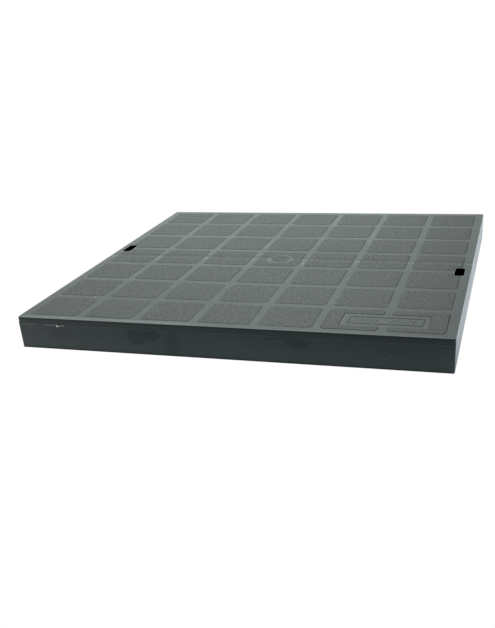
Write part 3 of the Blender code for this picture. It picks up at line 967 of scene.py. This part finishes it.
# ====================================================================== frame
def build_frame():
    skin, webs = bmesh.new(), bmesh.new()
    setback = HALF - FRAME_HALF
    ring_section(skin, [               # distance in from HALF, z, plan radius
        # outer wall
        (setback + 1.0, 0.0, 0.6),
        (setback + 0.72, 0.06, 0.8),
        (setback + 0.54, 0.24, 0.95),
        (setback + 0.5, 0.55, 1.0),
        (0.12, FRAME_TOP - 0.7, 1.1),
        (0.13, FRAME_TOP - 0.34, 1.1),
        (0.20, FRAME_TOP - 0.14, 1.0),
        (0.32, FRAME_TOP - 0.04, 0.9),
        (0.50, FRAME_TOP, 0.8),
        (setback + 2.3, FRAME_TOP, 1.7),
        (setback + 2.55, FRAME_TOP - 0.12, 1.6),
        (setback + 2.7, FRAME_TOP - 0.5, 1.5),
        # channel floor
        (setback + 2.9, 5.0, 1.5),
        (setback + 3.2, 4.0, 2.0),
        (setback + 3.9, 3.5, 2.6),
        (33.0, 3.5, 6.0),
        (33.7, 3.9, 5.6),
        # inner wall
        (KERB_OUT, 5.0, 5.2),
        (KERB_OUT, 17.4, 5.0),
        (34.15, 17.8, 5.0),
        (34.5, KERB_TOP, 4.9),
        (36.5, KERB_TOP, 4.9),
        (36.85, 17.8, 4.8),
        (KERB_IN, 17.4, 4.8),
        (KERB_IN, 0.8, 4.8),
        (36.85, 0.25, 4.9),
        (36.4, 0.0, 5.2),
    ])
    # Webs across the channel with sloping tops and rounded crests.
    inner, outer = HALF - KERB_OUT - 1.0, HALF - setback - 2.8 + 0.8
    profile = [                        # distance from the centre, z
        (inner, 2.4), (outer, 2.4), (outer, 12.0),
        (outer - 1.5, 11.8), (inner + 12, 9.0), (inner, 8.6),
    ]
    half_w = 1.25
    slices = [                         # offset across the web, drop of its crest
        (-half_w, 0.35), (-half_w + 0.35, 0.0), (half_w - 0.35, 0.0), (half_w, 0.35),
    ]
    for k in range(-2, 3):
        for turn in range(4):
            rotation = Matrix.Rotation(turn * math.pi / 2, 2)
            rings = []
            for offset, drop in slices:
                ring = []
                for x, z in profile:
                    place = rotation @ Vector((x, k * PITCH + offset))
                    height = z - (drop if z > 3 else 0)
                    ring.append(webs.verts.new((place.x * MM, place.y * MM, height * MM)))
                rings.append(ring)
            bridge_all(webs, rings)
            webs.faces.new(rings[0][::-1])
            webs.faces.new(rings[-1])
    return union(skin, webs)


finish_mesh("frame_ring", build_frame(), [FRAME_SATIN], "frame", "frame")


# ======================================================================= seal
def build_seal():
    """A round bead on two legs that straddle the frame's inner wall."""
    skin = bmesh.new()
    foot = seal_lo.z / MM
    bead_x, bead_r = (KERB_OUT + KERB_IN) / 2, 3.9
    bead_z = seal_hi.z / MM - bead_r
    gap = 0.3                          # round the frame's wall
    # distance in from HALF, z, plan radius
    section = [(31.8, foot + 0.3, 7.0), (31.8, bead_z - 2.6, 7.0)]
    for k in range(13):
        angle = math.pi * (1.06 - 1.12 * k / 12)
        x, z = bead_x + bead_r * math.cos(angle), bead_z + bead_r * math.sin(angle)
        section.append((x, z, 5.6))
    section += [
        (39.0, bead_z - 2.6, 4.0),
        (39.0, foot + 0.3, 4.0),
        (38.7, foot, 4.2),
        (KERB_IN + gap, foot, 4.6),
        (KERB_IN + gap, KERB_TOP + gap, 4.6),
        (KERB_OUT - gap, KERB_TOP + gap, 5.4),
        (KERB_OUT - gap, foot, 5.4),
        (32.1, foot, 6.8),
    ]
    ring_section(skin, section)
    return skin


finish_mesh("seal_strip", build_seal(), [RUBBER], "frame", "frame_seal", split=50)


# =================================================================== key cups
CUP_HALF_X, CUP_HALF_Y, CUP_WALL = 12.5, 16.5, 1.5
CUP_TOP, CUP_BOTTOM = LIP - 0.3, 8.0
# Up the outside and down the inside: inset, corner radius, z.
CUP_PROFILE = [
    (2.2, 1.2, CUP_BOTTOM),
    (1.0, 2.0, CUP_BOTTOM + 0.2),
    (0.3, 2.7, CUP_BOTTOM + 0.9),
    (0.05, 3.0, CUP_BOTTOM + 2.0),
    (0.0, 3.0, CUP_TOP - 0.3),
    (0.25, 2.8, CUP_TOP),
    (CUP_WALL - 0.25, 1.9, CUP_TOP),
    (CUP_WALL, 1.7, CUP_TOP - 0.3),
    (CUP_WALL, 1.7, CUP_BOTTOM + 3.4),
    (CUP_WALL + 0.3, 1.6, CUP_BOTTOM + 2.4),
    (CUP_WALL + 1.2, 1.2, CUP_BOTTOM + 1.9),
    (CUP_WALL + 2.4, 0.9, CUP_BOTTOM + 1.8),
]
EAR_EDGE = [(0.25, 17.7), (0.0, 18.0), (0.0, 19.7), (0.25, 20.0)]    # inset, z


def add_ear(skin, x, y, end):
    """Screw ear on one end of a cup, with a small web under it."""
    root = y + end * (CUP_HALF_Y - 0.7)
    y0, y1 = sorted((root, y + end * 25.5))
    low, high = wall(skin, rect(x - 5.5, x + 5.5, y0, y1, 2.4), EAR_EDGE)
    hole = Circle((x, y + end * SCREW_REACH), 1.9, seg=20)
    hole_low, hole_high = wall(skin, hole, EAR_EDGE, hole=True)
    cap(skin, [high, hole_high])
    cap(skin, [low, hole_low])
    tapered_bar(
        skin, (x - 2.6, root), (x - 2.6, y + end * 19.2),
        top=18.6, bottom=13.5, top_width=1.4, foot_width=1.2,
    )


def build_cup(side, y):
    skin, ears = bmesh.new(), bmesh.new()
    x = side * CUP_X
    loops = []
    for inset, radius, z in CUP_PROFILE:
        outline = rect(
            x - CUP_HALF_X + inset, x + CUP_HALF_X - inset,
            y - CUP_HALF_Y + inset, y + CUP_HALF_Y - inset, radius, seg=6,
        )
        loops.append(add_loop(skin, outline.points(), z))
    bridge_all(skin, loops)
    cap(skin, [loops[0]])
    cap(skin, [loops[-1]])
    for end in (-1, 1):
        add_ear(ears, x, y, end)
    return union(skin, ears)


HEAD_H = 2.1
# Screw head: radius, z.
HEAD = [(3.2, 0.0), (3.2, -1.0), (3.1, -1.35), (2.8, -1.75), (2.45, -2.0), (2.15, -HEAD_H)]
SCREW_SEG = 24


def add_shank(skin):
    """Shank with a coarse thread, ending in a blunt point.  Returns its first loop."""
    rows, length, pitch = 72, 9.8, 1.8
    core_r, thread_h, point = 1.05, 0.34, 1.8
    rings = []
    for i in range(rows + 1):
        z = length * i / rows
        left = length - z
        core = core_r if z < length - point else core_r * max(0.25, left / point)
        ring = []
        for k in range(SCREW_SEG):
            angle = 2 * math.pi * k / SCREW_SEG
            phase = (z / pitch - k / SCREW_SEG) % 1.0
            ridge = max(0.0, 1.0 - abs(phase - 0.5) / 0.22)
            # the thread fades in below the head and out at the point
            fade_out = min(1.0, max(0.0, left / 1.6))
            radius = core + thread_h * ridge * fade_out * min(1.0, z / 0.8)
            ring.append((radius * math.cos(angle), radius * math.sin(angle)))
        rings.append(add_loop(skin, ring, z))
    bridge_all(skin, rings)
    cap(skin, [rings[-1]])
    return rings[0]


def build_screw():
    """Domed head with a cross recess, pointing down, and a shank going up."""
    skin = bmesh.new()
    arm, half_w = 1.9, 0.42
    quarter = [(arm, -half_w), (arm, half_w), (half_w, half_w)]
    corners = []
    for _ in range(4):
        corners += quarter
        quarter = [(-y, x) for x, y in quarter]
    cross = Poly(corners, [0.1, 0.1, 0.08] * 4, seg=2)
    loops = [add_loop(skin, Circle((0, 0), radius, SCREW_SEG).points(), z) for radius, z in HEAD]
    for low, high in zip(loops, loops[1:]):
        bridge(skin, high, low)
    mouth, floor = wall(skin, cross, [(0.0, -HEAD_H), (0.12, -1.1)])
    cap(skin, [loops[-1], mouth])
    cap(skin, [floor])
    cap(skin, [loops[0], add_shank(skin)])
    return skin


for name, (slot_x, slot_y) in SLOTS.items():
    cup = build_cup(1 if slot_x > 0 else -1, slot_y)
    finish_mesh(f"cup_{name}", cup, [BLACK], "lid", f"key_cup_{name}")
    for end in ("front", "back"):
        node = f"cup_screw_{name}_{end}"
        lo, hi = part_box(node)
        at = Vector(((lo.x + hi.x) / 2, (lo.y + hi.y) / 2, lo.z + HEAD_H * MM))
        finish_mesh(
            f"screw_{name}_{end}", build_screw(), [STEEL],
            "lid", node, split=30, location=at,
        )


# ============================================================ stage and camera
# Light given off by the paper.
FLOOR_FRONT = 0.12                     # base level in front
FLOOR_SLOW, FLOOR_QUICK = 0.24, 0.12   # added on the left, over a long and a short fade
FLOOR_NEAR = 0.26                      # added close to the front edge
FLOOR_LIT = 1.25                       # at the back and on the right
FOOT_REACH, FOOT_DEPTH = 0.006, 0.7    # shade at the object's foot: width, strength
# Light from the world.
WORLD_DIM = 0.27                       # the room
WORLD_WINDOW = 0.94
WORLD_FILL = 0.8                       # high on the left
WORLD_OVER = 1.0                       # overhead
WORLD_HORIZON = 1.10                   # low backdrop
# Soft panels: azimuth span and softness (degrees), fade in and out by z, level.
WORLD_PANELS = [
    ((112, 158), 14, (0.14, 0.24), (0.45, 0.62), 0.50),    # behind the camera, right
    ((-98, -51), 12, (0.35, 0.45), (0.52, 0.66), 1.4),     # far on the left
]
WHITE = (1.0, 1.0, 1.0)


def paper():
    """Paper that is pure white to the camera and gives graded light to the object."""
    mat = bpy.data.materials.new("pale_paper")
    tree = empty_tree(mat)
    out = tree.nodes.new("ShaderNodeOutputMaterial")
    net = Net(tree)
    x, y, _ = net.xyz()
    # Lit from the back and the right; the paper in front lies in the camera's shade.
    front = net.add(FLOOR_FRONT, net.remap(x, (-0.26, 0.24), (FLOOR_SLOW, 0.0)))
    front = net.add(front, net.ease(x, (-0.25, -0.10), (FLOOR_QUICK, 0.0)))
    front = net.add(front, net.remap(y, (-0.265, -0.205), (0.0, FLOOR_NEAR)))
    side = net.ease(x, (0.194, 0.2005))
    back = net.ease(y, (-0.31, -0.06))
    lit = net.max(net.mul(side, back), net.ease(y, (0.15, 0.24)))
    level = net.add(net.mul(front, net.sub(1.0, lit)), net.mul(lit, FLOOR_LIT))
    # The paper right at the object's foot is shaded by it.
    reach = net.max(net.abs(x), net.abs(y))
    foot = net.ease(reach, (0.199, 0.200 + FOOT_REACH), (1.0, 0.0))
    shade = net.mul(net.mul(foot, FOOT_DEPTH), net.sub(1.0, lit))
    level = net.mul(level, net.sub(1.0, shade))
    seen = net.node("LightPath").outputs["Is Camera Ray"]
    emit = net.node("Emission")
    left = net.ease(x, (-0.22, 0.0), (1.0, 0.0))
    tint = net.mix(left, (0.84, 1.0, 1.06), over=(0.95, 1.0, 1.04))
    tint = net.mix(lit, tint, over=(0.925, 1.0, 1.06))
    net.link(net.mix(seen, tint, over=WHITE), emit.inputs["Color"])
    strength = net.add(net.mul(seen, 1.0), net.mul(net.sub(1.0, seen), level))
    net.link(strength, emit.inputs["Strength"])
    net.link(emit.outputs[0], out.inputs["Surface"])
    return mat


def build_stage():
    mesh = bpy.data.meshes.new("studio_floor")
    skin = bmesh.new()
    half, count = 6.0, 24
    steps = [-half + 2 * half * i / count for i in range(count + 1)]
    grid = [[skin.verts.new((x, y, 0.0)) for y in steps] for x in steps]
    for i in range(count):
        for j in range(count):
            corners = (grid[i][j], grid[i + 1][j], grid[i + 1][j + 1], grid[i][j + 1])
            skin.faces.new(corners)
    skin.to_mesh(mesh)
    skin.free()
    floor = bpy.data.objects.new("studio_floor", mesh)
    bpy.context.scene.collection.objects.link(floor)
    floor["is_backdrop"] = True
    mesh.materials.append(paper())


def build_world():
    world = bpy.data.worlds.new("soft_studio")
    bpy.context.scene.world = world
    tree = empty_tree(world)
    out = tree.nodes.new("ShaderNodeOutputWorld")
    net = Net(tree, "Generated")
    x, y, z = net.xyz()
    degree = math.radians(1)
    # A tall bright window behind the object and to its left, a dim room elsewhere.
    azimuth = net.math("ARCTAN2", x, y)    # from the back, growing to the right
    rise = net.ease(azimuth, (-58 * degree, -18 * degree))
    fall = net.ease(azimuth, (-14 * degree, 9 * degree), (1.0, 0.0))
    dim = net.mul(WORLD_DIM, net.ease(azimuth, (4 * degree, 20 * degree), (1.0, 0.62)))
    level = net.add(dim, net.mul(net.mul(rise, fall), WORLD_WINDOW))
    # A softer fill high on the left.
    fill = net.mul(net.ease(x, (-0.9, -0.35), (1.0, 0.0)), net.ease(z, (0.25, 0.5)))
    level = net.max(level, net.mul(fill, WORLD_FILL))
    for span, soft, fade_in, fade_out, strength in WORLD_PANELS:
        upright = net.mul(net.ease(z, fade_in), net.ease(z, fade_out, (1.0, 0.0)))
        panel = net.mul(band(net, azimuth, span, soft, degree), upright)
        level = net.add(level, net.mul(panel, strength))
    # The lit backdrop stands low behind everything.
    low = net.ease(z, (0.06, 0.26), (1.0, 0.0))
    behind = net.ease(y, (0.1, 0.6))
    level = net.max(level, net.mul(net.mul(low, behind), WORLD_HORIZON))
    over = net.ease(z, (0.55, 0.9))
    level = net.add(net.mul(level, net.sub(1.0, over)), net.mul(over, WORLD_OVER))
    # The camera itself sees plain white.
    seen = net.node("LightPath").outputs["Is Camera Ray"]
    background = net.node("Background")
    net.link(net.mix(seen, (0.89, 1.0, 0.97), over=WHITE), background.inputs["Color"])
    strength = net.add(seen, net.mul(net.sub(1.0, seen), level))
    net.link(strength, background.inputs["Strength"])
    net.link(background.outputs[0], out.inputs["Surface"])


def build_camera():
    cam = bpy.data.cameras.new("camera")
    obj = bpy.data.objects.new("camera", cam)
    bpy.context.scene.collection.objects.link(obj)
    cam.sensor_width = 36.0
    cam.lens = 48.80
    cam.clip_start, cam.clip_end = 0.02, 50.0
    place = (0.24693, -0.84024, 0.2951)
    right = Vector((0.951535, 0.299653, -0.068739)).normalized()
    forward = Vector((-0.304376, 0.886877, -0.347571)).normalized()
    up = right.cross(forward).normalized()
    forward = up.cross(right).normalized()
    rotation = Matrix((right, up, -forward)).transposed()
    obj.matrix_world = Matrix.Translation(place) @ rotation.to_4x4()
    bpy.context.scene.camera = obj


build_stage()
build_world()
build_camera()

view = bpy.context.scene.view_settings
view.view_transform = "Standard"
view.look = "None"
view.exposure = 0.0
view.gamma = 1.0

lo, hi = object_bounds()
